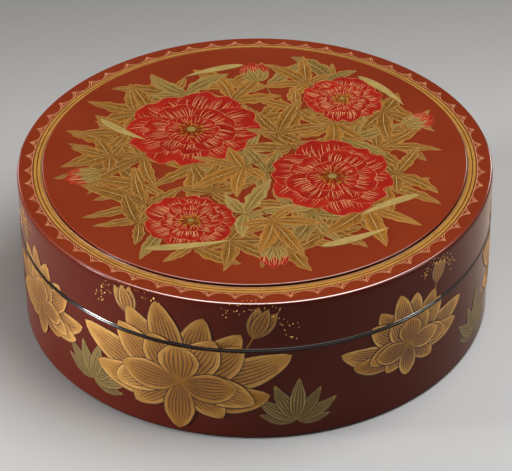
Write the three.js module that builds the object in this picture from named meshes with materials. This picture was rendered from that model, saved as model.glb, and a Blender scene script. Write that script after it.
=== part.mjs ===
// A round lacquered box with a flush, lift-off lid. Millimetres, +Z up.
// The origin is the centre of the foot's underside, and Z is the axis of every piece.
import * as THREE from 'three';

// Overall form, set by the outside of the closed box
const outerRadius = 130; // the two walls make one straight cylinder
const bodyHeight = 59; // table to joint
const lidHeight = 30.3; // joint to the flat border of the lid's top
const borderWidth = 13.8; // flat border, from the wall to the raised centre panel
const panelRise = 1.9; // how far the panel stands above the border

// Boards and hoops
const hoopThickness = 4.6; // both walls are bent from strip of one thickness
const rimThickness = 3.6; // standing rim inside the body
const rimRise = 6.5; // how far the rim stands above the joint, into the lid
const bottomThickness = 4.4;
const topBoardThickness = 3.6; // the lid's ceiling
const ringThickness = 3; // border ring, on top of the ceiling board
const footHeight = 1.6;
const footWidth = 10; // how wide the ring is that the box stands on
const footSetback = 0.8; // how far the foot is drawn in from the wall

// Lips at the joint
const lipHeight = 1.3; // each of the two black lips
const lipProud = 0.3; // how far a lip's round edge stands out of the wall

// Rounded edges, coves and chamfers
const lidEdgeRound = 1.4; // outer edge of the lid's top
const panelEdgeRound = 0.9; // top edge of the centre panel
const coveRadius = 0.7; // hollow moulding between border and panel
const rimEase = 1.2; // chamfer that leads the lid onto the rim
const bottomCove = 2.2; // rounded foot of the rim, where it meets the floor inside
const footEase = 0.5; // chamfer on the foot's lower edges

// Clearances
const glueGap = 0.25; // between glued pieces that nest in each other
const liftGap = 0.3; // running clearance between the rim and the lid's wall

const segments = 96; // facets round the axis
const arcSteps = 5; // facets in a quarter round

// Heights worked out from the sizes above
const bottomTop = footHeight + bottomThickness;
const joint = bodyHeight;
const bodyHoopTop = joint - lipHeight;
const lidHoopBottom = joint + lipHeight;
const borderTop = joint + lidHeight;
const ringUnderside = borderTop - ringThickness;
const ceiling = ringUnderside - topBoardThickness;
const panelTop = borderTop + panelRise;

// Radii worked out from the sizes above
const hoopInside = outerRadius - hoopThickness;
const rimOutside = hoopInside - liftGap;
const rimInside = rimOutside - rimThickness;
const footOutside = outerRadius - footSetback;
const panelRadius = outerRadius - borderWidth;
const ringInside = panelRadius + glueGap;

// Quarter of a circle in the (radius, height) plane, from one angle to another, in degrees
function arc(centreRadius, centreHeight, r, from, to) {
  const points = [];
  for (let i = 0; i <= arcSteps; i += 1) {
    const angle = THREE.MathUtils.degToRad(from + ((to - from) * i) / arcSteps);
    points.push([centreRadius + r * Math.cos(angle), centreHeight + r * Math.sin(angle)]);
  }
  return points;
}

// Piece turned about Z from an outline of [radius, height] points, given anticlockwise.
// An outline that starts on the axis ends on it, and a ring's outline closes on itself.
function turned(name, outline, material) {
  const onAxis = outline[0][0] === 0;
  const closed = onAxis ? outline : [...outline, outline[0]];
  const profile = closed.map(([radius, height]) => new THREE.Vector2(radius, height));
  const geometry = new THREE.LatheGeometry(profile, segments);
  geometry.rotateX(Math.PI / 2); // the lathe turns about Y
  const mesh = new THREE.Mesh(geometry, material);
  mesh.name = name;
  return mesh;
}

const redLacquer = new THREE.MeshStandardMaterial({ color: 0x8a2f1c, roughness: 0.25, metalness: 0 });
const blackLacquer = new THREE.MeshStandardMaterial({ color: 0x14100e, roughness: 0.2, metalness: 0 });

// Floor of the box, held between the rim above it and the foot below it
function bottomBoard() {
  const radius = hoopInside - glueGap;
  return turned('bottom_board', [
    [0, footHeight],
    [radius, footHeight],
    [radius, bottomTop],
    [0, bottomTop],
  ], blackLacquer);
}

// Ring that the box stands on, under the wall and the edge of the floor
function footBand() {
  const inside = footOutside - footWidth;
  return turned('foot_band', [
    [inside + footEase, 0],
    [footOutside - footEase, 0],
    [footOutside, footEase],
    [footOutside, footHeight],
    [inside, footHeight],
    [inside, footEase],
  ], blackLacquer);
}

// Straight wall of the body, from the foot to its lip
function bodyWallHoop() {
  return turned('body_wall_hoop', [
    [hoopInside, footHeight],
    [outerRadius, footHeight],
    [outerRadius, bodyHoopTop],
    [hoopInside, bodyHoopTop],
  ], redLacquer);
}

// Standing rim, coved to the floor inside and eased at the top so that the lid finds its place
function innerRimHoop() {
  const top = joint + rimRise;
  return turned('inner_rim_hoop', [
    [rimInside - bottomCove, bottomTop],
    [rimOutside, bottomTop],
    [rimOutside, top - rimEase],
    [rimOutside - rimEase, top],
    [rimInside + rimEase / 2, top],
    [rimInside, top - rimEase / 2],
    ...arc(rimInside - bottomCove, bottomTop + bottomCove, bottomCove, 0, -90).slice(0, -1),
  ], blackLacquer);
}

// Lip on one side of the joint: flat where the two lips meet, half round on the outside
function lipBand(name, low, high) {
  const r = (high - low) / 2;
  const proudRadius = outerRadius + lipProud - r;
  return turned(name, [
    [hoopInside, low],
    ...arc(proudRadius, low + r, r, -90, 90),
    [hoopInside, high],
  ], blackLacquer);
}

// Straight wall of the lid, from its lip to the border ring
function lidWallHoop() {
  return turned('lid_wall_hoop', [
    [hoopInside, lidHoopBottom],
    [outerRadius, lidHoopBottom],
    [outerRadius, ringUnderside],
    [hoopInside, ringUnderside],
  ], redLacquer);
}

// Ceiling of the lid, let in flush with the top of the lid's wall
function lidTopBoard() {
  const radius = hoopInside - glueGap;
  return turned('lid_top_board', [
    [0, ceiling],
    [radius, ceiling],
    [radius, ringUnderside],
    [0, ringUnderside],
  ], blackLacquer);
}

// Flat border of the lid's top: rounded over to the wall outside, and coved up to the panel inside
function lidBorderRing() {
  const edge = Math.min(lidEdgeRound, ringThickness);
  const cove = Math.min(coveRadius, panelRise);
  return turned('lid_border_ring', [
    [ringInside, ringUnderside],
    [outerRadius, ringUnderside],
    ...arc(outerRadius - edge, borderTop - edge, edge, 0, 90),
    ...arc(ringInside + cove, borderTop + cove, cove, -90, -180),
  ], redLacquer);
}

// Raised panel in the middle of the ring, with its top edge rounded
function lidCentrePanel() {
  const edge = Math.min(panelEdgeRound, panelRise);
  return turned('lid_centre_panel', [
    [0, ringUnderside],
    [panelRadius, ringUnderside],
    ...arc(panelRadius - edge, panelTop - edge, edge, 0, 90),
    [0, panelTop],
  ], redLacquer);
}

const body = new THREE.Group();
body.add(footBand(), bottomBoard(), bodyWallHoop(), innerRimHoop());
body.add(lipBand('body_lip_band', bodyHoopTop, joint));

const lid = new THREE.Group();
lid.add(lipBand('lid_lip_band', joint, lidHoopBottom));
lid.add(lidWallHoop(), lidTopBoard(), lidBorderRing(), lidCentrePanel());

const box = new THREE.Group();
box.add(body, lid);

export default box;
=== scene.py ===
import math
import random

import bmesh
import bpy
import numpy as np
from mathutils import Matrix, Vector


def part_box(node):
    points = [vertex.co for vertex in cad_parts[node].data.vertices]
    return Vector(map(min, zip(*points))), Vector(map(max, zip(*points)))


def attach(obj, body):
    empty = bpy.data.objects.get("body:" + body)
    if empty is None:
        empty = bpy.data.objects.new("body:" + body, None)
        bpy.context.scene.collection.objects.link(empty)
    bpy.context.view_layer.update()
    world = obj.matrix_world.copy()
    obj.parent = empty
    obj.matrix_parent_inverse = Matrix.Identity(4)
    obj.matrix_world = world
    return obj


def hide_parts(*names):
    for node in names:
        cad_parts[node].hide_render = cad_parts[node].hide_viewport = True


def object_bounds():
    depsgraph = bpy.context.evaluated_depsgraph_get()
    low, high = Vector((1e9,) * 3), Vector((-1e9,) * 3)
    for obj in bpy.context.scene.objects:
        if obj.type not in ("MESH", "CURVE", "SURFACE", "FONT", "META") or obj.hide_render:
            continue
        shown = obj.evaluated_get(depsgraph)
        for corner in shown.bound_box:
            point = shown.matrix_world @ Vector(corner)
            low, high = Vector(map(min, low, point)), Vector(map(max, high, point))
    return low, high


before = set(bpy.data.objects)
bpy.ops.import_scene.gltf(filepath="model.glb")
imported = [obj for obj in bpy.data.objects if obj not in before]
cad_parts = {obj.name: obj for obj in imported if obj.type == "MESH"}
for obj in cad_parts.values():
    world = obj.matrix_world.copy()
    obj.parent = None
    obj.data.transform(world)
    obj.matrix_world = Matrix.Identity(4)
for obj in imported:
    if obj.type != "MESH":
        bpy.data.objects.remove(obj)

cad_low, cad_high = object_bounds()
mm = 0.001

# The foot is a low turned ring of wood under the wall and the edge of the floor, lacquered black.
# It is glued on, drawn in from the wall, and eased on both lower edges, and the box stands on it.
wall_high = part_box("body_wall_hoop")[1]
foot_low, foot_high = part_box("foot_band")
wall_radius = wall_high.x
foot_radius = foot_high.x
foot_width = 10 * mm
foot_ease = 0.6 * mm
crease_angle = math.radians(38)


def arc(centre_radius, centre_height, radius, start, end, steps=6):
    """Points of an arc in the plane of radius and height, between two angles in degrees."""
    angles = np.radians(np.linspace(start, end, steps))
    return [(centre_radius + radius * math.cos(a), centre_height + radius * math.sin(a)) for a in angles]


def new_object(name, mesh, material, body):
    """A named piece with its finish, riding on its body."""
    piece = bpy.data.objects.new(name, mesh)
    bpy.context.scene.collection.objects.link(piece)
    mesh.materials.append(material)
    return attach(piece, body)


def turned(name, outline, material, body, rounds=288):
    """A piece turned about the box's axis from an outline of (radius, height) points.
    An outline that starts on the axis ends there; any other closes on itself."""
    on_axis = outline[0][0] == 0
    angles = np.linspace(0, 2 * math.pi, rounds, endpoint=False)
    points, rings = [], []
    for radius, height in outline:
        if radius == 0:
            rings.append([len(points)] * rounds)
            points.append((0, 0, height))
            continue
        rings.append(list(range(len(points), len(points) + rounds)))
        points += [(radius * math.cos(a), radius * math.sin(a), height) for a in angles]
    pairs = list(zip(rings, rings[1:])) + ([] if on_axis else [(rings[-1], rings[0])])
    faces = []
    for lower, upper in pairs:
        for i in range(rounds):
            j = (i + 1) % rounds
            corners = [lower[i], lower[j], upper[j], upper[i]]
            faces.append(list(dict.fromkeys(corners)))
    mesh = bpy.data.meshes.new(name)
    mesh.from_pydata(points, [], faces)
    mesh.shade_smooth()
    mesh.set_sharp_from_angle(angle=crease_angle)
    return new_object(name, mesh, material, body)


def new_material(name):
    """An empty node material, with its nodes, its links and its shader."""
    material = bpy.data.materials.new(name)
    material.use_nodes = True
    nodes, links = material.node_tree.nodes, material.node_tree.links
    return material, nodes, links, nodes["Principled BSDF"]


def noise(nodes, links, scale, detail):
    """A noise texture on the object's own metres."""
    place = nodes.new("ShaderNodeTexCoord")
    texture = nodes.new("ShaderNodeTexNoise")
    texture.inputs["Scale"].default_value = scale
    texture.inputs["Detail"].default_value = detail
    links.new(place.outputs["Object"], texture.inputs["Vector"])
    return texture.outputs["Fac"]


def ramp(nodes, links, value, stops):
    """A colour ramp of (place, colour) stops on a value."""
    node = nodes.new("ShaderNodeValToRGB")
    elements = node.color_ramp.elements
    while len(elements) < len(stops):
        elements.new(0.5)
    for element, (place, colour) in zip(elements, stops):
        element.position = place
        element.color = (*colour, 1)
    links.new(value, node.inputs["Fac"])
    return node.outputs["Color"]


def spread(nodes, links, value, low, high, start=0.0, end=1.0, smooth=False):
    """A value between start and end, spread between low and high."""
    node = nodes.new("ShaderNodeMapRange")
    node.interpolation_type = "SMOOTHSTEP" if smooth else "LINEAR"
    for name, number in (("From Min", start), ("From Max", end), ("To Min", low), ("To Max", high)):
        node.inputs[name].default_value = number
    links.new(value, node.inputs["Value"])
    return node.outputs["Result"]


def bump(nodes, links, shader, height, depth, strength):
    """Fine relief on a shader, of the given depth in metres."""
    node = nodes.new("ShaderNodeBump")
    node.inputs["Distance"].default_value = depth
    node.inputs["Strength"].default_value = strength
    links.new(height, node.inputs["Height"])
    links.new(node.outputs["Normal"], shader.inputs["Normal"])


def rub_down(nodes, links, shader, bright, dull, waviness):
    """Soft rubbing marks in the gloss, between two roughnesses, and the faint waves of the brush."""
    rubbed = noise(nodes, links, 190, 5)
    links.new(spread(nodes, links, rubbed, bright, dull), shader.inputs["Roughness"])
    brush_waves = noise(nodes, links, 38, 2)
    bump(nodes, links, shader, brush_waves, 0.05 * mm, waviness)


def lacquer(name, dark, light, roughness, mottle=26, specular=0.5):
    """Brushed and rubbed lacquer, whose colour changes slowly between two depths."""
    material, nodes, links, shader = new_material(name)
    cloud = noise(nodes, links, mottle, 4)
    links.new(ramp(nodes, links, cloud, [(0.3, dark), (0.7, light)]), shader.inputs["Base Color"])
    shader.inputs["Specular IOR Level"].default_value = specular
    rub_down(nodes, links, shader, roughness * 0.8, roughness * 1.25, 0.35)
    return material


black_lacquer = lacquer("black_lacquer", (0.006, 0.0045, 0.004), (0.011, 0.008, 0.007), 0.16)

foot_inside = foot_radius - foot_width
foot = turned("foot_band_lacquered", [
    *arc(foot_inside + foot_ease, foot_low.z + foot_ease, foot_ease, 180, 270),
    *arc(foot_radius - foot_ease, foot_low.z + foot_ease, foot_ease, -90, 0),
    (foot_radius, foot_high.z),
    (foot_inside, foot_high.z),
], black_lacquer, "box")
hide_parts("foot_band")

# The floor of the box is one round board, let into the wall's lower edge between the foot and the rim.
# It is lacquered black inside and out, and the brush leaves it a little duller than the rubbed parts.
board_low, board_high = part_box("bottom_board")
board_radius = board_high.x

brushed_black = lacquer("brushed_black_lacquer", (0.007, 0.0052, 0.0045), (0.013, 0.0095, 0.008), 0.3)

bottom = turned("bottom_board_lacquered", [
    (0, board_low.z), (board_radius, board_low.z), (board_radius, board_high.z), (0, board_high.z),
], brushed_black, "box")
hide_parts("bottom_board")

# The wall is a strip of thin wood bent to a hoop and glued, primed, and lacquered brownish red outside.
# Inside it is black, and the standing rim covers it.
glue_gap = 0.25 * mm
hoop_inside = board_radius + glue_gap

# The wall's red is the lid's red painted much darker, as painted shade on the upright sides of the box.
shaded_wall_red = lacquer(
    "wall_red_lacquer", (0.077, 0.0102, 0.0056), (0.092, 0.0132, 0.0075), 0.16, mottle=14, specular=0.16)


def hoop(name, node, body):
    """A wall, red outside with painted shade in its colour, and brushed black on the faces that look in
    towards the axis.
    """
    low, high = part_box(node)
    wall = turned(name, [
        (hoop_inside, low.z), (wall_radius, low.z), (wall_radius, high.z), (hoop_inside, high.z),
    ], shaded_wall_red, body)
    wall.data.materials.append(brushed_black)
    for face in wall.data.polygons:
        facing_out = face.normal.x * face.center.x + face.normal.y * face.center.y
        if facing_out < -hoop_inside / 2:
            face.material_index = 1
    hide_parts(node)


hoop("body_wall_lacquered", "body_wall_hoop", "box")

# The rim is a second hoop, glued inside the wall and standing above the joint to keep the lid in place.
# Its top is eased on both sides and its foot is filled to a small cove, all under one black lacquer.
rim_low, rim_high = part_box("inner_rim_hoop")
rim_outside = rim_high.x
rim_thickness = 3.6 * mm
rim_inside = rim_outside - rim_thickness
rim_cove = 2.2 * mm
rim_ease = 1.1 * mm

rim = turned("inner_rim_lacquered", [
    (rim_inside - rim_cove, rim_low.z),
    (rim_outside, rim_low.z),
    *arc(rim_outside - rim_ease, rim_high.z - rim_ease, rim_ease, 0, 90),
    *arc(rim_inside + rim_ease, rim_high.z - rim_ease, rim_ease, 90, 180),
    *arc(rim_inside - rim_cove, rim_low.z + rim_cove, rim_cove, 0, -90)[:-1],
], black_lacquer, "box")
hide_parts("inner_rim_hoop")

# At the joint each wall ends in a lip of black lacquer built up thick, half round and a hair proud.
# The two lips meet flat, so the closed box shows two bright lines with a fine dark one between them.
# Handling has kept the lid's lip bright, and the body's is duller.
edge_rounds = 360
polished_black = lacquer(
    "polished_black_lacquer", (0.004, 0.003, 0.0026), (0.006, 0.0045, 0.004), 0.11, specular=0.2)
dull_black = lacquer(
    "dull_black_lacquer", (0.004, 0.003, 0.003), (0.007, 0.005, 0.004), 0.24, specular=0.2)
for finish, weight in ((polished_black, 0.55), (dull_black, 0.15)):
    lip_shader = finish.node_tree.nodes["Principled BSDF"]
    lip_shader.inputs["Coat Weight"].default_value = weight
    lip_shader.inputs["Coat Roughness"].default_value = 0.13
    lip_shader.inputs["Coat IOR"].default_value = 1.6


def lip(name, node, body, finish):
    """One lip, from the inside of the hoop to its rounded edge."""
    low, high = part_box(node)
    radius = (high.z - low.z) / 2
    piece = turned(name, [
        (hoop_inside, low.z),
        *arc(high.x - radius, low.z + radius, radius, -90, 90, 11),
        (hoop_inside, high.z),
    ], finish, body, edge_rounds)
    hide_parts(node)


lip("body_lip_lacquered", "body_lip_band", "box", dull_black)
lip("lid_lip_lacquered", "lid_lip_band", "lid", polished_black)

# The lid's wall is a hoop bent from the same strip as the body's, glued, primed and lacquered like it.
# It lines up with the wall below, so the two read as one drum when the box is closed.
hoop("lid_wall_lacquered", "lid_wall_hoop", "lid")

# The lid's ceiling is a round board, glued in flush with the top of the lid's wall. It carries the
# ring and the panel, and is lacquered black like the rest of the inside.
ceiling_low, ceiling_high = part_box("lid_top_board")
ceiling = turned("lid_ceiling_lacquered", [
    (0, ceiling_low.z), (ceiling_high.x, ceiling_low.z),
    (ceiling_high.x, ceiling_high.z), (0, ceiling_high.z),
], brushed_black, "lid")
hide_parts("lid_top_board")

# The border ring is glued on the board and turned with it: rounded over to the wall outside, and
# hollowed inside to a small cove that runs up against the centre panel. Wear has polished its edge.
ring_low, ring_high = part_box("lid_border_ring")
panel_low, panel_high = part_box("lid_centre_panel")
panel_radius = panel_high.x
ring_inside = panel_radius + glue_gap
lid_edge = 1.4 * mm
ring_cove = 0.7 * mm
border_top = ring_high.z - ring_cove


def mixed(nodes, links, share, first, second, blend="MIX"):
    """Two colours mixed by the second's share. Each of the three is a node's output or a plain value."""
    node = nodes.new("ShaderNodeMix")
    node.data_type = "RGBA"
    node.blend_type = blend
    for name, value in (("Factor", share), ("A", first), ("B", second)):
        if isinstance(value, bpy.types.NodeSocket):
            links.new(value, node.inputs[name])
        else:
            node.inputs[name].default_value = value
    return node.outputs["Result"]


def worn_lacquer(name, side, coat_ior):
    """The red lacquer of the lid's top: rubbed bright on the rounded edges, and painted darker on the side
    below, as painted shade.
    """
    material, nodes, links, shader = new_material(name)
    cloud = noise(nodes, links, 20, 4)
    red = ramp(nodes, links, cloud, [(0.3, (0.2, 0.0255, 0.008)), (0.7, (0.237, 0.033, 0.0105))])
    geometry = nodes.new("ShaderNodeNewGeometry")
    split = nodes.new("ShaderNodeSeparateXYZ")
    links.new(geometry.outputs["Normal"], split.inputs["Vector"])
    worn = ramp(nodes, links, split.outputs["Z"], [
        (0.0, (0, 0, 0)), (0.57, (0, 0, 0)), (0.73, (1, 1, 1)), (0.965, (1, 1, 1)), (0.995, (0, 0, 0))])
    # Painted shade: where the surface turns down from the top, it takes the darker colour of the side.
    below = ramp(nodes, links, split.outputs["Z"], [(0.0, (1, 1, 1)), (0.4, (1, 1, 1)), (0.66, (0, 0, 0))])
    links.new(mixed(nodes, links, below, red, (*side, 1)), shader.inputs["Base Color"])
    links.new(worn, shader.inputs["Coat Weight"])
    shader.inputs["Coat Roughness"].default_value = 0.07
    shader.inputs["Coat IOR"].default_value = coat_ior
    shader.inputs["Specular IOR Level"].default_value = 0.06
    rub_down(nodes, links, shader, 0.17, 0.25, 0.3)
    return material


# The ring's side below its rounded edge is painted in the darker wall red, as painted shade.
border_red = worn_lacquer("border_red_lacquer", (0.084, 0.0117, 0.0066), 2.8)

ring = turned("lid_border_ring_lacquered", [
    (ring_inside, ring_low.z),
    (wall_radius, ring_low.z),
    *arc(wall_radius - lid_edge, border_top - lid_edge, lid_edge, 0, 90, 13),
    *arc(ring_inside + ring_cove, ring_high.z, ring_cove, -90, -180, 7),
], border_red, "lid", edge_rounds)
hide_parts("lid_border_ring")

# The centre panel is a turned disc, glued on the board inside the ring and standing a little above it.
# Its top edge is rounded, and it has the same red lacquer as the ring, but the side below its edge is
# painted nearly black, as painted shade.
panel_edge = 0.9 * mm
panel_red = worn_lacquer("panel_red_lacquer", (0.018, 0.004, 0.0025), 1.9)
panel = turned("lid_centre_panel_lacquered", [
    (0, panel_low.z),
    (panel_radius, panel_low.z),
    *arc(panel_radius - panel_edge, panel_high.z - panel_edge, panel_edge, 0, 90, 11),
    (0, panel_high.z),
], panel_red, "lid", edge_rounds)
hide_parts("lid_centre_panel")

# The border's lines are brushed in lacquer, and the gold ones are dusted with powder while they are wet.
# From the panel outwards lie a cool dusting in the cove, a gold band, a brown line, and both once more.
bands_start = 117.3 * mm
gold_band_width = 1.5 * mm
brown_line_width = 0.55 * mm
line_height = 0.05 * mm


def shade_of(nodes):
    """The shade painted on each form: 0 where it is deepest and 1 where it is lightest."""
    attribute = nodes.new("ShaderNodeAttribute")
    attribute.attribute_name = "shade"
    return attribute.outputs["Fac"]


def product(nodes, links, first, second):
    """Two values or colours multiplied."""
    return mixed(nodes, links, 1, first, second, "MULTIPLY")


def gold_powder(name, deep, middle, light, roughness, metal):
    """Gold powder with its grains, under rubbed lacquer, and lighter where it was sprinkled thickly."""
    material, nodes, links, shader = new_material(name)
    tint = ramp(nodes, links, shade_of(nodes), [(0.0, deep), (0.5, middle), (1.0, light)])
    grains = noise(nodes, links, 2200, 2)
    thin_places = noise(nodes, links, 140, 4)
    speckle = ramp(nodes, links, grains, [(0.3, (0.72, 0.7, 0.66)), (0.7, (1.12, 1.12, 1.12))])
    patches = ramp(nodes, links, thin_places, [(0.3, (0.84, 0.8, 0.76)), (0.65, (1.05, 1.05, 1.05))])
    painted = product(nodes, links, product(nodes, links, tint, speckle), patches)
    links.new(painted, shader.inputs["Base Color"])
    shader.inputs["Metallic"].default_value = metal
    links.new(spread(nodes, links, grains, roughness - 0.08, roughness + 0.12), shader.inputs["Roughness"])
    bump(nodes, links, shader, grains, 0.02 * mm, 0.4)
    return material


band_gold = gold_powder("band_gold", (0.22, 0.09, 0.012), (0.72, 0.36, 0.07), (0.95, 0.52, 0.12), 0.42, 0.4)
cove_gold = gold_powder("cove_gold", (0.09, 0.055, 0.02), (0.33, 0.17, 0.055), (0.46, 0.26, 0.09), 0.6, 0.2)


def painted_line(name, deep, light, roughness=0.35):
    """Thin coloured lacquer laid on with the finest brush."""
    material, nodes, links, shader = new_material(name)
    tint = ramp(nodes, links, shade_of(nodes), [(0.0, deep), (1.0, light)])
    brushed = noise(nodes, links, 260, 3)
    wash = ramp(nodes, links, brushed, [(0.3, (0.78, 0.76, 0.74)), (0.7, (1.08, 1.08, 1.08))])
    links.new(product(nodes, links, tint, wash), shader.inputs["Base Color"])
    shader.inputs["Roughness"].default_value = roughness
    return material


brown_line = painted_line("brown_line", (0.05, 0.01, 0.0), (0.08, 0.016, 0.0), 0.6)


def shade_evenly(piece, shade):
    """Give a whole piece one shade."""
    shades = piece.data.attributes.new("shade", "FLOAT", "POINT")
    shades.data.foreach_set("value", [shade] * len(piece.data.vertices))


def band(name, inside, outside, material, shade):
    """A thin flat ring of paint on the border, with its edges eased down to the lacquer."""
    ease = line_height
    piece = turned(name, [
        (inside, border_top - line_height), (outside, border_top - line_height),
        (outside, border_top), (outside - ease, border_top + line_height),
        (inside + ease, border_top + line_height), (inside, border_top),
    ], material, "lid", edge_rounds)
    shade_evenly(piece, shade)


band_inside = bands_start
for name, width, material, slot, shade in (
        ("border_gold_inner_band", gold_band_width, band_gold, "gold_powder", 0.5),
        ("border_brown_line", brown_line_width, brown_line, "dark_line", 0.35),
        ("border_gold_outer_band", gold_band_width, band_gold, "gold_powder", 0.5),
        ("border_brown_outer_line", brown_line_width, brown_line, "dark_line", 0.5)):
    band(name, band_inside, band_inside + width, material, shade)
    band_inside += width

dust_clear = 0.02 * mm
dust_sunk = 0.04 * mm
dust_height = 0.03 * mm
cove = turned("border_cove_dusting", [
    (panel_radius + dust_clear, border_top - dust_sunk),
    (bands_start, border_top - dust_sunk),
    (bands_start, border_top + dust_height),
    *arc(ring_inside + ring_cove, border_top + ring_cove + dust_height, ring_cove, -90, -150, 6),
    (panel_radius + dust_clear, border_top + ring_cove * 0.6),
], cove_gold, "lid", edge_rounds)
shade_evenly(cove, 0.5)

# Outside the bands runs a row of lappets: arcs that meet in cusps, with smaller arcs nested in each.
# They are drawn freehand with a fine brush in pale orange, so no two are quite alike.
# From here on a painted point is given in mm, with its height above the surface that it lies on.
lappets = 57
lappet_base = 121.8
lappet_reach = 4.3
lappet_line = 0.32
coat = 0.007
weld = 0.0005 * mm
stroke_crease_angle = math.radians(40)


class Pot:
    """All that is painted in one colour on one surface: points, faces and shades."""

    def __init__(self):
        self.points, self.shades, self.faces = [], [], []

    def add(self, x, y, height, shade):
        """Add a grid of points, facing up where its second direction lies to the left of its first."""
        rows, columns = x.shape
        first = len(self.points)
        self.points += zip(x.ravel(), y.ravel(), height.ravel())
        self.shades += list(shade.ravel())
        for i in range(rows - 1):
            for j in range(columns - 1):
                corner = first + i * columns + j
                self.faces.append((corner, corner + columns, corner + columns + 1, corner + 1))

    def settle(self, name, surface, material, slot, body, cut=None):
        """Lay the paint on its surface as one piece. A cut keeps what is above or below a height."""
        mesh = bpy.data.meshes.new(name)
        mesh.from_pydata([surface(x, y, height) for x, y, height in self.points], [], self.faces)
        shades = mesh.attributes.new("shade", "FLOAT", "POINT")
        shades.data.foreach_set("value", [min(1.0, max(0.0, float(value))) for value in self.shades])
        work = bmesh.new()
        work.from_mesh(mesh)
        bmesh.ops.remove_doubles(work, verts=work.verts, dist=weld)
        bmesh.ops.dissolve_degenerate(work, edges=work.edges, dist=weld)
        if cut:
            level, keep_above = cut
            parts = [*work.verts, *work.edges, *work.faces]
            bmesh.ops.bisect_plane(work, geom=parts, plane_co=(0, 0, level), plane_no=(0, 0, 1),
                                   clear_inner=keep_above, clear_outer=not keep_above)
        work.to_mesh(mesh)
        work.free()
        mesh.shade_smooth()
        mesh.set_sharp_from_angle(angle=stroke_crease_angle)
        new_object(name, mesh, material, body)


def stroke(pot, x, y, width, level, shade):
    """A line of the brush as wide as its widths say, raised a little along its middle."""
    x, y = np.asarray(x, float), np.asarray(y, float)
    run_x, run_y = np.gradient(x), np.gradient(y)
    run = np.hypot(run_x, run_y) + 1e-9
    side_x, side_y = -run_y / run * width / 2, run_x / run * width / 2
    height = np.full(len(x), level)
    pot.add(np.stack([x - side_x, x, x + side_x], 1), np.stack([y - side_y, y, y + side_y], 1),
            np.stack([height, height + coat * 0.5, height], 1), np.full((len(x), 3), shade))


def tapered(points, width, ends=0.25):
    """Widths of a stroke that starts and ends fine."""
    place = np.linspace(0, 1, points)
    return width * (ends + (1 - ends) * np.sin(math.pi * place) ** 0.7)


def on_border(x, y, height):
    """Where a painted point lies on the border."""
    return x * mm, y * mm, border_top + height * mm


brush = random.Random(7)
lappet_pot = Pot()
lappet_level = 0.02
span = 2 * math.pi / lappets
sweep = np.linspace(0, 1, 11)
arc_widths = tapered(len(sweep), lappet_line, 0.7)
for i in range(lappets):
    cusp = i * span + brush.uniform(-0.06, 0.06) * span
    for half_width, reach_share, foot_share in ((0.5, 1.0, 0.0), (0.2, 0.86, 0.1), (0.11, 0.72, 0.26)):
        arc_foot = lappet_reach * foot_share
        arc_tip = lappet_reach * reach_share * brush.uniform(0.94, 1.05)
        for side in (-1, 1):
            angle = cusp + side * sweep * span * half_width
            reach = lappet_base + arc_foot + (arc_tip - arc_foot) * (1 - sweep) ** 2.3
            shade = brush.uniform(0.45, 0.8)
            stroke(lappet_pot, reach * np.cos(angle), reach * np.sin(angle), arc_widths, lappet_level, shade)
round_angle = np.linspace(0, 2 * math.pi, 361)
round_x = lappet_base * np.cos(round_angle)
round_y = lappet_base * np.sin(round_angle)
stroke(lappet_pot, round_x, round_y, np.full(len(round_angle), 0.5), lappet_level, 0.3)
pale_line = painted_line("cream_line", (0.5, 0.16, 0.05), (0.8, 0.42, 0.2))
lappet_pot.settle("border_lappets", on_border, pale_line, "cream_line", "lid")

# The panel is painted with peonies among their leaves. Each form is filled in colour and then drawn
# over with the hairlines of a fine brush, and what is painted later lies on what it covers.


class Bed:
    """How many coats already lie on each square millimetre of a surface."""

    def __init__(self, half_width, half_height):
        self.middle = np.array([half_width, half_height])
        self.coats = np.zeros((2 * half_width + 3, 2 * half_height + 3), int)

    def lay(self, x, y):
        """Lay a form over these points and return the height in mm that it lies at."""
        column = np.clip(np.round(x.ravel() + self.middle[0]).astype(int), 1, self.coats.shape[0] - 2)
        row = np.clip(np.round(y.ravel() + self.middle[1]).astype(int), 1, self.coats.shape[1] - 2)
        near = [(column + i, row + j) for i in (-1, 0, 1) for j in (-1, 0, 1)]
        top = max(self.coats[cells].max() for cells in near) + 1
        for cells in near:
            self.coats[cells] = top
        return top * coat


edge_depth = 0.05
vein_gap = 4.6


def fill(pot, bed, place, shade, rows=14, columns=9):
    """Paint one form: a flat face on all that it covers, and an edge that goes down to the ground."""
    along, across = np.meshgrid(np.linspace(0, 1, 3 * rows), np.linspace(-1, 1, 3 * columns), indexing="ij")
    level = bed.lay(*place(along, across))
    along, across = np.meshgrid(np.linspace(0, 1, rows), np.linspace(-1, 1, columns), indexing="ij")
    x, y = place(along, across)
    height = np.pad(np.full(x.shape, level), 1, constant_values=-edge_depth)
    pot.add(np.pad(x, 1, "edge"), np.pad(y, 1, "edge"), height, np.pad(shade(along, across), 1, "edge"))
    return level


def swept(origin, heading, length, bend, along, offset):
    """Points beside a curved midrib, offset to its left."""
    curve = math.radians(bend) if abs(bend) > 0.1 else 0.002
    start = math.radians(heading) - curve / 2
    angle = curve * along
    x = length * np.sin(angle) / curve - offset * np.sin(angle)
    y = length * (1 - np.cos(angle)) / curve + offset * np.cos(angle)
    return (origin[0] + x * math.cos(start) - y * math.sin(start),
            origin[1] + x * math.sin(start) + y * math.cos(start))


def leaf(origin, heading, length, width, bend=0.0, belly=0.42, wave=0.0, phase=0.0, fullness=0.9):
    """A leaf pointed at both ends, with waved edges. Gives the place of any point (along, across) of it."""
    power = math.log(0.5) / math.log(belly)

    def place(along, across):
        half = width * np.sin(math.pi * np.clip(along, 0, 1) ** power) ** fullness
        half = half * (1 + wave * np.sin(24 * along + phase + 1.6 * across))
        return swept(origin, heading, length, bend, along, half * across)
    return place


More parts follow.
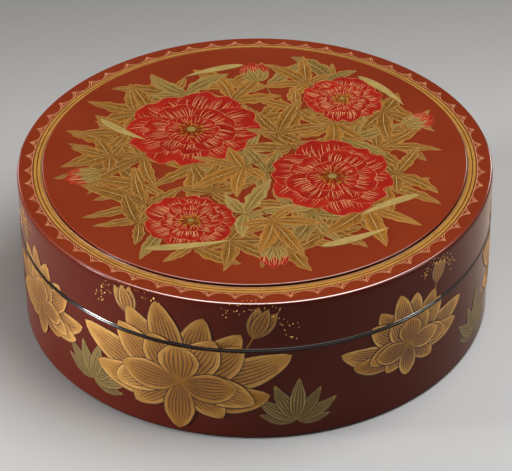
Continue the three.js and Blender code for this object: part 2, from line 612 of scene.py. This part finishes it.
def petal(origin, heading, length, width, bend, cleft, frill, phase):
    """A broad petal: narrow at its foot, widest past its middle, with a frilled and notched top."""
    waist = 0.22
    shoulder = 0.8

    def place(along, across):
        half = waist + (1 - waist) * np.sin(np.clip(along / 0.7, 0, 1) * math.pi / 2) ** 1.3
        half = half * (1 - (1 - shoulder) * np.clip((along - 0.7) / 0.3, 0, 1) ** 2)
        half = width * half * (1 + frill * (1 - along) * np.sin(11 * along + phase))
        reach = 1 - 0.15 * np.abs(across) ** 3 - cleft * np.exp(-(across / 0.2) ** 2)
        reach = reach + frill * (1 - across ** 2) * np.cos(8 * across + phase)
        return swept(origin, heading, length, bend, along * reach, half * across)
    return place


def hairline(pot, place, along, across, width, level, shade):
    """A fine line on a form, given by its places along and across it."""
    x, y = place(along, across)
    stroke(pot, x, y, tapered(len(x), width), level, shade)


def leaf_shade(tone):
    """How a leaf is shaded: lighter to its edges and its tip, in long soft strokes."""
    def shade(along, across):
        strokes = 0.16 * np.sin(9 * across + 5 * along)
        return tone + 0.34 * np.abs(across) ** 1.5 + strokes - 0.18 * (1 - along)
    return shade


def draw_leaf(paint, lines, bed, place, length, hand, tone, detail=1.0):
    """Fill a leaf and draw its midrib, its edges and its side veins."""
    level = fill(paint, bed, place, leaf_shade(tone), rows=max(8, int(length * 0.55)))
    run = np.linspace(0.02, 0.97, 14)
    hairline(lines, place, run, 0 * run, 0.42, level, 0.8)
    for side in (-1, 1):
        hairline(lines, place, run, side * (0.94 + 0 * run), 0.55, level, 0.3)
    veins = int(length / vein_gap * detail)
    for i in range(veins):
        start = 0.08 + 0.78 * (i + hand.uniform(0, 0.6)) / veins
        for side in (-1, 1):
            sweep = np.linspace(0, 1, 6)
            hairline(lines, place, start + 0.15 * sweep, side * 0.84 * sweep ** 0.8, 0.22, level, 0.35)


def draw_petal(paint, lines, bed, place, size, hand, tone, hairlines):
    """Fill a petal and draw its outline and the hairlines that fan out over it."""
    def shade(along, across):
        return tone * (0.1 + 0.9 * np.clip(along, 0, 1) ** 0.75) + 0.1 * np.cos(7 * across)
    level = fill(paint, bed, place, shade, columns=13)
    edge = np.linspace(0.25, 1, 12)
    for side in (-1, 1):
        hairline(lines, place, edge, side * (0.985 + 0 * edge), 0.28, level, 0.15)
    top = np.linspace(-0.985, 0.985, 17)
    hairline(lines, place, 0.992 + 0 * top, top, 0.32, level, 0.3)
    for i in range(hairlines):
        fan = -0.86 + 1.72 * (i + hand.uniform(0.2, 0.8)) / hairlines
        begin, end = hand.uniform(0.3, 0.45), hand.uniform(0.74, 0.93)
        run = np.linspace(begin, end, 8)
        bow = fan * (0.72 + 0.28 * (run - begin) / (end - begin))
        hairline(lines, place, run, bow, 0.36, level, hand.uniform(0.3, 0.9))
        if size > 14 and hand.random() < 0.6:
            fork = np.linspace(0.55, end - 0.02, 5)
            lean = hand.choice((-1, 1)) * 0.07
            hairline(lines, place, fork, fan * 0.86 + lean * (fork - 0.5) * 3, 0.28, level, 0.45)


def dot(pot, bed, x, y, radius, shade):
    """A raised dot of gold."""
    turn_round = np.linspace(0, 2 * math.pi, 9)
    reach = np.array([radius, radius * 0.8, radius * 0.01])
    ring_x = x + np.outer(reach, np.cos(-turn_round))
    ring_y = y + np.outer(reach, np.sin(-turn_round))
    level = bed.lay(ring_x, ring_y)
    height = np.array([[level - coat], [level + 0.02], [level + 0.05]])
    pot.add(ring_x, ring_y, np.repeat(height, len(turn_round), 1), np.full(ring_x.shape, shade))


def stem(pot, bed, origin, heading, length, width, bend):
    """A curved stem, thinner towards its end. Gives the place where it ends."""
    run = np.linspace(0, 1, 14)
    x, y = swept(origin, heading, length, bend, run, 0 * run)
    stroke(pot, x, y, width * (1 - 0.45 * run), bed.lay(x, y), 0.4)
    return x[-1], y[-1]


gold_share = 0.88
spray_reach = 1.2


def spray(pots, bed, origin, heading, length, hand, room):
    """Up to five slender leaflets on one stalk, in gold or green gold, all inside the room's radius."""
    paint = pots["gold"] if hand.random() < gold_share else pots["green"]
    tone = hand.uniform(0.34, 0.6)
    foot = stem(paint, bed, origin, heading, length * 0.3, 1.2, hand.uniform(-20, 20))
    for lean, share in ((-104, 0.55), (104, 0.55), (-50, 0.82), (50, 0.82), (0, 1.0)):
        size = length * share * hand.uniform(0.85, 1.12)
        turned_to = heading + lean + hand.uniform(-9, 9)
        bend = hand.uniform(-34, 34)
        width = hand.uniform(3.5, 5.5) * (0.6 + 0.4 * share)
        place = leaf(foot, turned_to, size, width, bend,
                     wave=hand.uniform(0.08, 0.2), phase=hand.uniform(0, 6))
        tip = place(np.array(1.0), np.array(0.0))
        if math.hypot(*tip) < room:
            draw_leaf(paint, pots["veins"], bed, place, size, hand, tone + hand.uniform(-0.08, 0.08))


def away(origin, heading, distance):
    """The place at a distance from another, in a direction in degrees."""
    angle = math.radians(heading)
    return origin[0] + distance * math.cos(angle), origin[1] + distance * math.sin(angle)


def peony(pots, bed, centre, radius, turn, hand):
    """An open peony from above: three rings of petals, each smaller than the last, round gold stamens."""
    rings = ((6, 1.0, 0.5, 0, 13), (5, 0.7, 0.38, 30, 11), (5, 0.4, 0.24, 8, 6))
    for count, reach, width, offset, hairlines in rings:
        order = list(range(count))
        hand.shuffle(order)
        for i in order:
            heading = turn + offset + i * 360 / count + hand.uniform(-8, 8)
            foot = away(centre, heading, 0.04 * radius)
            size = radius * reach * hand.uniform(0.9, 1.06)
            place = petal(foot, heading, size, radius * width * hand.uniform(0.9, 1.1),
                          bend=hand.uniform(-16, 16), cleft=hand.uniform(0.02, 0.12),
                          frill=hand.uniform(0.015, 0.04), phase=hand.uniform(0, 6))
            tone = hand.uniform(0.65, 0.98)
            draw_petal(pots["red"], pots["lines"], bed, place, size, hand, tone, hairlines)
    stamens = 22
    for i in range(stamens):
        heading = i * 360 / stamens + hand.uniform(-7, 7)
        reach = radius * hand.uniform(0.13, 0.27)
        x, y = away(centre, heading, np.linspace(0.03 * radius, reach, 4))
        stroke(pots["gold"], x, y, np.full(4, 0.35), bed.lay(x, y), 0.7)
        dot(pots["gold"], bed, x[-1], y[-1], 0.75, 0.9)
    dot(pots["green"], bed, centre[0], centre[1], 0.07 * radius, 0.7)


def bud(pots, bed, origin, heading, size, hand):
    """A closed bud: red petals showing between long green-gold sepals."""
    for lean, share in ((-16, 0.9), (16, 0.92), (0, 1.0)):
        place = leaf(origin, heading + lean, size * share, size * 0.26, belly=0.55)
        draw_petal(pots["red"], pots["lines"], bed, place, size, hand, 0.9, 5)
    for lean, share in ((-34, 0.62), (34, 0.62), (-12, 0.7), (13, 0.68)):
        place = leaf(origin, heading + lean, size * share, size * 0.14, bend=-lean * 0.9, belly=0.4)
        draw_leaf(pots["green"], pots["veins"], bed, place, size * share, hand, 0.5, 0.6)


gold_paint = gold_powder(
    "gold_powder", (0.15, 0.068, 0.009), (0.31, 0.131, 0.014), (0.58, 0.24, 0.022), 0.45, 0.35)
green_gold_paint = gold_powder(
    "green_gold_powder", (0.12, 0.072, 0.013), (0.3, 0.195, 0.042), (0.6, 0.46, 0.15), 0.45, 0.35)
red_paint, red_nodes, red_links, red_shader = new_material("vermilion_lacquer")
red_tint = ramp(red_nodes, red_links, shade_of(red_nodes), [
    (0.0, (0.12, 0.006, 0.003)), (0.45, (0.285, 0.008, 0.003)), (1.0, (0.4, 0.016, 0.006))])
red_wash = ramp(red_nodes, red_links, noise(red_nodes, red_links, 120, 4), [
    (0.3, (0.85, 0.8, 0.8)), (0.7, (1.06, 1.06, 1.06))])
red_links.new(product(red_nodes, red_links, red_tint, red_wash), red_shader.inputs["Base Color"])
red_shader.inputs["Roughness"].default_value = 0.3
red_shader.inputs["Specular IOR Level"].default_value = 0.3

vein_line = painted_line("pale_gold_line", (0.36, 0.15, 0.02), (0.6, 0.42, 0.17))
panel_top = panel_high.z


def on_panel(x, y, height):
    """Where a painted point lies on the panel."""
    return x * mm, y * mm, panel_top + height * mm


hand = random.Random(23)
picture_reach = 112
panel_bed = Bed(int(panel_radius / mm), int(panel_radius / mm))
panel_pots = {colour: Pot() for colour in ("gold", "green", "red", "lines", "veins")}
flowers = [((-35, 28), 36, 12), ((42, -20), 34, 40), ((-34, -60), 24, 75), ((50, 58), 22, 20)]
buds = [((-84, -14), 196, 20), ((84, 30), 28, 19), ((2, 78), 98, 21), ((10, -84), 268, 19)]
top_sprays = [((3, -4), 214, 36), ((10, 14), 70, 34), ((-72, 0), 165, 26), ((4, -52), 300, 34)]
blades = [
    ((-86, 40), -40, 34, 20), ((60, 82), -52, 40, -24), ((-58, -84), 8, 46, 16), ((88, -38), 210, 38, 20),
    ((-6, 96), 200, 36, 18), ((34, -84), 24, 40, 14)]


def spray_inside(origin, heading, length):
    """Draw a spray, swung round if need be until it ends inside the picture."""
    for swing in (0, 18, -18, 36, -36, 54, -54, 72, -72, 90, -90):
        if math.hypot(*away(origin, heading + swing, spray_reach * length)) < picture_reach:
            spray(panel_pots, panel_bed, origin, heading + swing, length, hand, picture_reach)
            return


for heading in range(0, 360, 20):
    origin = away((0, 0), heading, hand.uniform(52, 74))
    spray_inside(origin, heading + hand.uniform(-30, 30), hand.uniform(34, 44))
for centre, radius, turn in flowers:
    sprays = 8 if radius > 30 else 6
    for i in range(sprays):
        heading = turn + i * 360 / sprays + hand.uniform(-14, 14)
        spray_inside(away(centre, heading, 0.7 * radius), heading, hand.uniform(32, 46))
for origin, heading, size in buds:
    bud(panel_pots, panel_bed, origin, heading, size, hand)
for centre, radius, turn in flowers:
    peony(panel_pots, panel_bed, centre, radius, turn, hand)
for origin, heading, length in top_sprays:
    spray(panel_pots, panel_bed, origin, heading, length, hand, picture_reach)
for origin, heading, length, bend in blades:
    blade = leaf(origin, heading, length, 2.6, bend, belly=0.35)
    draw_leaf(panel_pots["green"], panel_pots["veins"], panel_bed, blade, length, hand, 1.0, 0.0)

panel_pots["gold"].settle("panel_gold_leaves", on_panel, gold_paint, "gold_powder", "lid")
panel_pots["green"].settle("panel_green_gold_leaves", on_panel, green_gold_paint, "green_gold_powder", "lid")
panel_pots["red"].settle("panel_red_petals", on_panel, red_paint, "vermilion_lacquer", "lid")
panel_pots["lines"].settle("panel_hairlines", on_panel, pale_line, "cream_line", "lid")
panel_pots["veins"].settle("panel_leaf_veins", on_panel, vein_line, "gold_powder", "lid")

# Round the wall stand blossoms seen from the side, with buds and leaf sprigs between them. They are
# sprinkled in gold and green gold, and their lines are left open so that dark lacquer shows in them.
# The joint runs through them, so each half of the box carries its part and they meet when it is closed.
wall_reach = wall_radius / mm
joint_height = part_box("body_lip_band")[1].z
lip_height = joint_height - wall_high.z
wall_relief = 4.3


def on_wall(x, y, height):
    """Where a painted point lies on the wall: x runs round it from the front, and y is its height there.
    The coats are laid thicker here than on the lid."""
    angle = x / wall_reach - math.pi / 2
    radius = (wall_reach + height * wall_relief) * mm
    return radius * math.cos(angle), radius * math.sin(angle), y * mm


def from_front(degrees):
    """Distance round the wall in mm of a place given by its angle from the front."""
    return math.radians(degrees) * wall_reach


def striped_petal(pots, bed, place, hand, tone, stripes=7):
    """Fill a petal in gold and draw the dark lines that run along it from its foot."""
    def shade(along, across):
        return tone - 0.22 + 0.42 * np.abs(across) ** 4 + 0.34 * np.clip(along, 0, 1)
    level = fill(pots["gold"], bed, place, shade, rows=18, columns=13)
    edge = np.linspace(0.02, 1, 22)
    for side in (-1, 1):
        hairline(pots["dark"], place, edge, side * (1.0 + 0 * edge), 0.75, level, 0.04)
    for i in range(stripes):
        fan = -0.82 + 1.64 * (i + 0.5) / stripes
        run = np.linspace(hand.uniform(0.06, 0.16), hand.uniform(0.82, 0.93) - 0.12 * abs(fan), 24)
        hairline(pots["dark"], place, run, fan * (0.9 + 0.1 * run), 0.8, level, hand.uniform(0.12, 0.45))


def side_blossom(pots, bed, heart, size, hand):
    """A full blossom from the side: an upright row behind, spreading sides, drooping petals and a cup."""
    rows = (
        (4, 40, 1.0, 0.19, 90), (2, 76, 1.28, 0.21, 90), (2, 96, 1.1, 0.2, 90), (2, 52, 0.95, 0.22, 90),
        (3, 50, 0.66, 0.18, 270), (2, 76, 0.86, 0.2, 270), (2, 30, 0.7, 0.22, 90), (2, 88, 0.66, 0.2, 90),
        (1, 0, 0.5, 0.24, 90))
    for count, spread_angle, reach, width, middle in rows:
        for i in sorted(range(count), key=lambda i: -abs(i - (count - 1) / 2)):
            lean = spread_angle * (2 * i / (count - 1) - 1) if count > 1 else 0
            lean += hand.uniform(-5, 5)
            place = leaf(heart, middle + lean, size * reach * hand.uniform(0.93, 1.06), size * width,
                         bend=-lean * 0.45 * hand.uniform(0.5, 1.2), belly=0.54, fullness=0.66,
                         wave=0.015, phase=hand.uniform(0, 6))
            striped_petal(pots, bed, place, hand, hand.uniform(0.42, 0.6))


bud_specks = 56


def tall_bud(pots, bed, foot, heading, size, hand):
    """A slender bud on its stalk, with dots of gold scattered round its tip."""
    tip = stem(pots["gold"], bed, foot, heading, size * 0.6, 1.3, hand.uniform(-16, 16))
    for lean in (-15, 15, 0):
        place = leaf(tip, heading + lean, size * 0.55, size * 0.12, belly=0.46)
        striped_petal(pots, bed, place, hand, 0.5, 3)
    for _ in range(bud_specks):
        spot = away(tip, heading + hand.uniform(-70, 70), size * hand.uniform(0.44, 0.66))
        dot(pots["gold"], bed, *spot, hand.uniform(0.22, 0.38), 0.8)


def sprig(pots, bed, foot, heading, size, hand):
    """A low sprig of seven striped leaves in green gold."""
    for lean, share in ((-82, 0.72), (80, 0.74), (-58, 0.95), (56, 0.92), (-30, 0.9), (29, 0.95), (0, 1.0)):
        length = size * share * hand.uniform(0.92, 1.08)
        place = leaf(foot, heading + lean, length, length * 0.17, bend=-lean * 0.4,
                     wave=0.04, phase=hand.uniform(0, 6))
        level = fill(pots["green"], bed, place, leaf_shade(hand.uniform(0.3, 0.5)), rows=14)
        run = np.linspace(0.04, 0.9, 10)
        for across in (-0.97, -0.6, -0.2, 0.2, 0.6, 0.97):
            hairline(pots["dark"], place, run, across + 0 * run, 0.62, level, 0.02)


wall_gold = gold_powder(
    "wall_gold_powder", (0.185, 0.077, 0.0105), (0.365, 0.172, 0.03), (0.74, 0.45, 0.135), 0.42, 0.6)
wall_green = gold_powder(
    "wall_green_gold", (0.125, 0.092, 0.022), (0.3, 0.225, 0.068), (0.47, 0.38, 0.15), 0.42, 0.6)
wall_line = painted_line("wall_line", (0.05, 0.013, 0.004), (0.23, 0.078, 0.016))
wall_hand = random.Random(41)
wall_bed = Bed(math.ceil(math.pi * wall_reach), math.ceil(cad_high.z / mm))
wall_pots = {colour: Pot() for colour in ("gold", "green", "dark")}
sprig_size = 27
for degrees, height in ((9, 12), (-42, 16), (66, 12), (122, 14), (-88, 14), (-136, 12), (174, 14)):
    heading = 90 + wall_hand.uniform(-14, 14)
    sprig(wall_pots, wall_bed, (from_front(degrees), height), heading, sprig_size, wall_hand)
for degrees, height, heading, size in (
        (-28, 50, 104, 34), (-5, 46, 66, 38), (45, 56, 78, 26), (-68, 52, 110, 28), (90, 48, 106, 34),
        (107, 48, 68, 34), (157, 54, 76, 26), (-120, 48, 104, 34), (-103, 48, 70, 34), (-167, 54, 100, 26)):
    tall_bud(wall_pots, wall_bed, (from_front(degrees), height), heading, size, wall_hand)
for degrees, height, size in (
        (-18, 35, 48), (38, 42, 33), (-62, 40, 33), (98, 35, 48),
        (149, 42, 33), (-112, 35, 48), (-161, 42, 33)):
    side_blossom(wall_pots, wall_bed, (from_front(degrees), height), size, wall_hand)

wall_pots["green"].settle("box_wall_green_sprigs", on_wall, wall_green, "green_gold_powder", "box")
for body, cut in (("box", (joint_height - lip_height, False)), ("lid", (joint_height + lip_height, True))):
    wall_pots["gold"].settle(body + "_wall_gold_blossoms", on_wall, wall_gold, "gold_powder", body, cut)
    wall_pots["dark"].settle(body + "_wall_dark_lines", on_wall, wall_line, "dark_line", body, cut)

# The studio: a pale floor that the box stands on, a wide soft lamp above it and a weak one on the left.
# Four small strip lamps and a patch of sky are seen in its gloss alone, as bright lines on the edges.
far_floor = 0.4
near_floor = -0.3
# Painted pools of light and shadow on the floor: the place, reach and brightness of each.
painted_light_pools = [
    ((-0.25, -0.17, 0), 0.14, 1.32), ((-0.25, 0.02, 0), 0.13, 0.74), ((0.06, -0.24, 0), 0.2, 0.87)]


def pale_floor():
    """A pale smooth floor with painted light in its colour: lighter to the front, soft painted pools of
    light and shade, and a warmer painted reflection in gloss.
    """
    material, nodes, links, shader = new_material("pale_floor")
    place = nodes.new("ShaderNodeNewGeometry")
    split = nodes.new("ShaderNodeSeparateXYZ")
    links.new(place.outputs["Position"], split.inputs["Vector"])
    nearness = spread(nodes, links, split.outputs["Y"], 0, 1, far_floor, near_floor)
    # What the camera sees: painted shade that darkens the floor towards the back.
    seen = ramp(nodes, links, nearness, [
        (0.0, (0.26, 0.252, 0.245)), (0.31, (0.455, 0.45, 0.445)), (0.5, (0.47, 0.468, 0.466)),
        (0.6, (0.54, 0.54, 0.54)), (0.76, (0.575, 0.577, 0.58)), (1.0, (0.62, 0.625, 0.63))])
    for centre, reach, light in painted_light_pools:
        gap = nodes.new("ShaderNodeVectorMath")
        gap.operation = "DISTANCE"
        gap.inputs[1].default_value = centre
        links.new(place.outputs["Position"], gap.inputs[0])
        pool = spread(nodes, links, gap.outputs["Value"], light, 1, 0, reach, smooth=True)
        seen = product(nodes, links, seen, pool)
    behind = nodes.new("ShaderNodeMath")
    links.new(split.outputs["X"], behind.inputs[0])
    links.new(split.outputs["Y"], behind.inputs[1])
    # Painted reflection: other rays see a warmer floor, brighter behind and to the right, in the wall's
    # gloss and in its bounced light.
    bounced = ramp(nodes, links, behind.outputs["Value"], [
        (0.1, (0.47, 0.43, 0.385)), (0.2, (0.75, 0.63, 0.53))])
    path = nodes.new("ShaderNodeLightPath")
    colour = mixed(nodes, links, path.outputs["Is Camera Ray"], bounced, seen)
    links.new(colour, shader.inputs["Base Color"])
    shader.inputs["Roughness"].default_value = 0.75
    shader.inputs["Specular IOR Level"].default_value = 0.0
    return material


floor_reach = 3.0
floor_mesh = bpy.data.meshes.new("studio_floor")
floor_mesh.from_pydata([
    (-floor_reach, -floor_reach, 0), (floor_reach, -floor_reach, 0),
    (floor_reach, floor_reach, 0), (-floor_reach, floor_reach, 0)], [], [(0, 1, 2, 3)])
floor = bpy.data.objects.new("studio_floor", floor_mesh)
bpy.context.scene.collection.objects.link(floor)
floor_mesh.materials.append(pale_floor())


box_middle = Vector((0, 0, 0.05))


def area_lamp(name, shape, place, facing, power, beam):
    """A lamp that faces one way, with its beam in degrees."""
    light = bpy.data.lights.new(name, "AREA")
    light.shape = shape
    light.energy = power
    light.spread = math.radians(beam)
    lamp = bpy.data.objects.new(name, light)
    lamp.location = place
    lamp.rotation_euler = facing.to_track_quat("-Z", "Y").to_euler()
    bpy.context.scene.collection.objects.link(lamp)
    return light, lamp


def soft_lamp(name, place, size, power, colour, beam=180):
    """A round soft lamp that looks at the middle of the box, unseen in its gloss."""
    light, lamp = area_lamp(name, "DISK", place, box_middle - Vector(place), power, beam)
    light.size = size
    light.color = colour
    lamp.visible_glossy = False


soft_lamp("key_softbox", (0.45, -0.04, 1.21), 0.9, 14.4, (1, 0.99, 0.98))
soft_lamp("left_fill_light", (-1.9, -0.18, 0.17), 0.5, 2.3, (1, 0.99, 0.97), beam=30)

strip_distance = 0.35
open_beam = 180
front_beam = 30


def glint_strip(name, point, direction, width, length, beam, brightness):
    """A small strip lamp near the box, seen only in its gloss: it lights the rounded edges at one point."""
    point, direction = Vector(point), Vector(direction).normalized()
    place = point + strip_distance * direction
    power = brightness * math.pi * width * length
    light, lamp = area_lamp(name, "RECTANGLE", place, -direction, power, beam)
    light.size, light.size_y = width, length
    lamp.visible_camera = False
    lamp.visible_diffuse = False


glint_strip("left_front_strip", (-0.083, -0.1, 0.06), (-0.945, -0.283, 0.12), 0.1, 0.1, front_beam, 7.0)
glint_strip("right_front_strip", (0.083, -0.1, 0.06), (0.945, -0.283, 0.12), 0.15, 0.1, front_beam, 1.5)
glint_strip("left_back_strip", (-0.13, 0.0, 0.088), (-0.528, 0.79, 0.305), 0.06, 0.2, open_beam, 1.5)
glint_strip("right_back_strip", (0.13, 0.0, 0.088), (0.528, 0.79, 0.305), 0.06, 0.2, open_beam, 3.0)

studio_grey = (0.22, 0.218, 0.215)
gloss_strength = 5.5
world = bpy.data.worlds.new("studio_room")
bpy.context.scene.world = world
world.use_nodes = True
world_nodes, world_links = world.node_tree.nodes, world.node_tree.links
room = world_nodes["Background"]
direction = world_nodes.new("ShaderNodeTexCoord")
world_split = world_nodes.new("ShaderNodeSeparateXYZ")
world_links.new(direction.outputs["Generated"], world_split.inputs["Vector"])


def world_math(operation, first, second):
    """Arithmetic on the direction that a ray looks in."""
    node = world_nodes.new("ShaderNodeMath")
    node.operation = operation
    for socket, value in zip(node.inputs, (first, second)):
        if isinstance(value, float):
            socket.default_value = value
        else:
            world_links.new(value, socket)
    return node.outputs["Value"]


def world_step(value, start, end):
    """Rises smoothly from 0 to 1 as a value goes from start to end."""
    return spread(world_nodes, world_links, value, 0, 1, start, end, smooth=True)


# The patch of sky is high up, in front and at both sides, and fades to the far left and the far right.
look_x, look_y, look_z = (world_split.outputs[axis] for axis in "XYZ")
aside = world_math("SUBTRACT", world_math("ABSOLUTE", look_x, 0.0), look_y)
canopy = world_math("MULTIPLY", world_step(look_z, 0.6, 0.72), world_step(aside, 0.12, 0.3))
canopy = world_math("MULTIPLY", canopy, world_step(look_x, -0.75, -0.25))
canopy = world_math("MULTIPLY", canopy, world_math("SUBTRACT", 1.0, world_step(look_x, 0.5, 0.8)))
gloss_sky = ramp(world_nodes, world_links, canopy, [(0.0, (0.015, 0.015, 0.015)), (1.0, (1, 0.85, 0.8))])
scaled = world_nodes.new("ShaderNodeVectorMath")
scaled.operation = "SCALE"
scaled.inputs["Scale"].default_value = gloss_strength
world_links.new(gloss_sky, scaled.inputs[0])
path = world_nodes.new("ShaderNodeLightPath")
not_bounced = world_math("LESS_THAN", path.outputs["Diffuse Depth"], 0.5)
first_gloss = world_math("MULTIPLY", path.outputs["Is Glossy Ray"], not_bounced)
room_colour = mixed(world_nodes, world_links, first_gloss, (*studio_grey, 1), scaled.outputs["Vector"])
world_links.new(room_colour, room.inputs["Color"])

# The camera stands where the photograph was taken from, a long lens about 1.4 m away and 36 degrees up.
# Its place and its lens were fitted to the outlines of the lid, the joint and the foot.
camera_data = bpy.data.cameras.new("camera")
camera_data.sensor_width = 36
camera_data.lens = 172.83
camera = bpy.data.objects.new("camera", camera_data)
bpy.context.scene.collection.objects.link(camera)
camera_place = Vector((0.0003, -1.1183, 0.8404))
camera_aim = Vector((0.0003, -0.0115, 0.0468))
camera_roll = math.radians(-0.65)
camera_turn = (camera_aim - camera_place).to_track_quat("-Z", "Y").to_matrix().to_4x4()
camera.matrix_world = Matrix.Translation(camera_place) @ camera_turn @ Matrix.Rotation(camera_roll, 4, "Z")
bpy.context.scene.camera = camera
bpy.context.scene.view_settings.view_transform = "Standard"
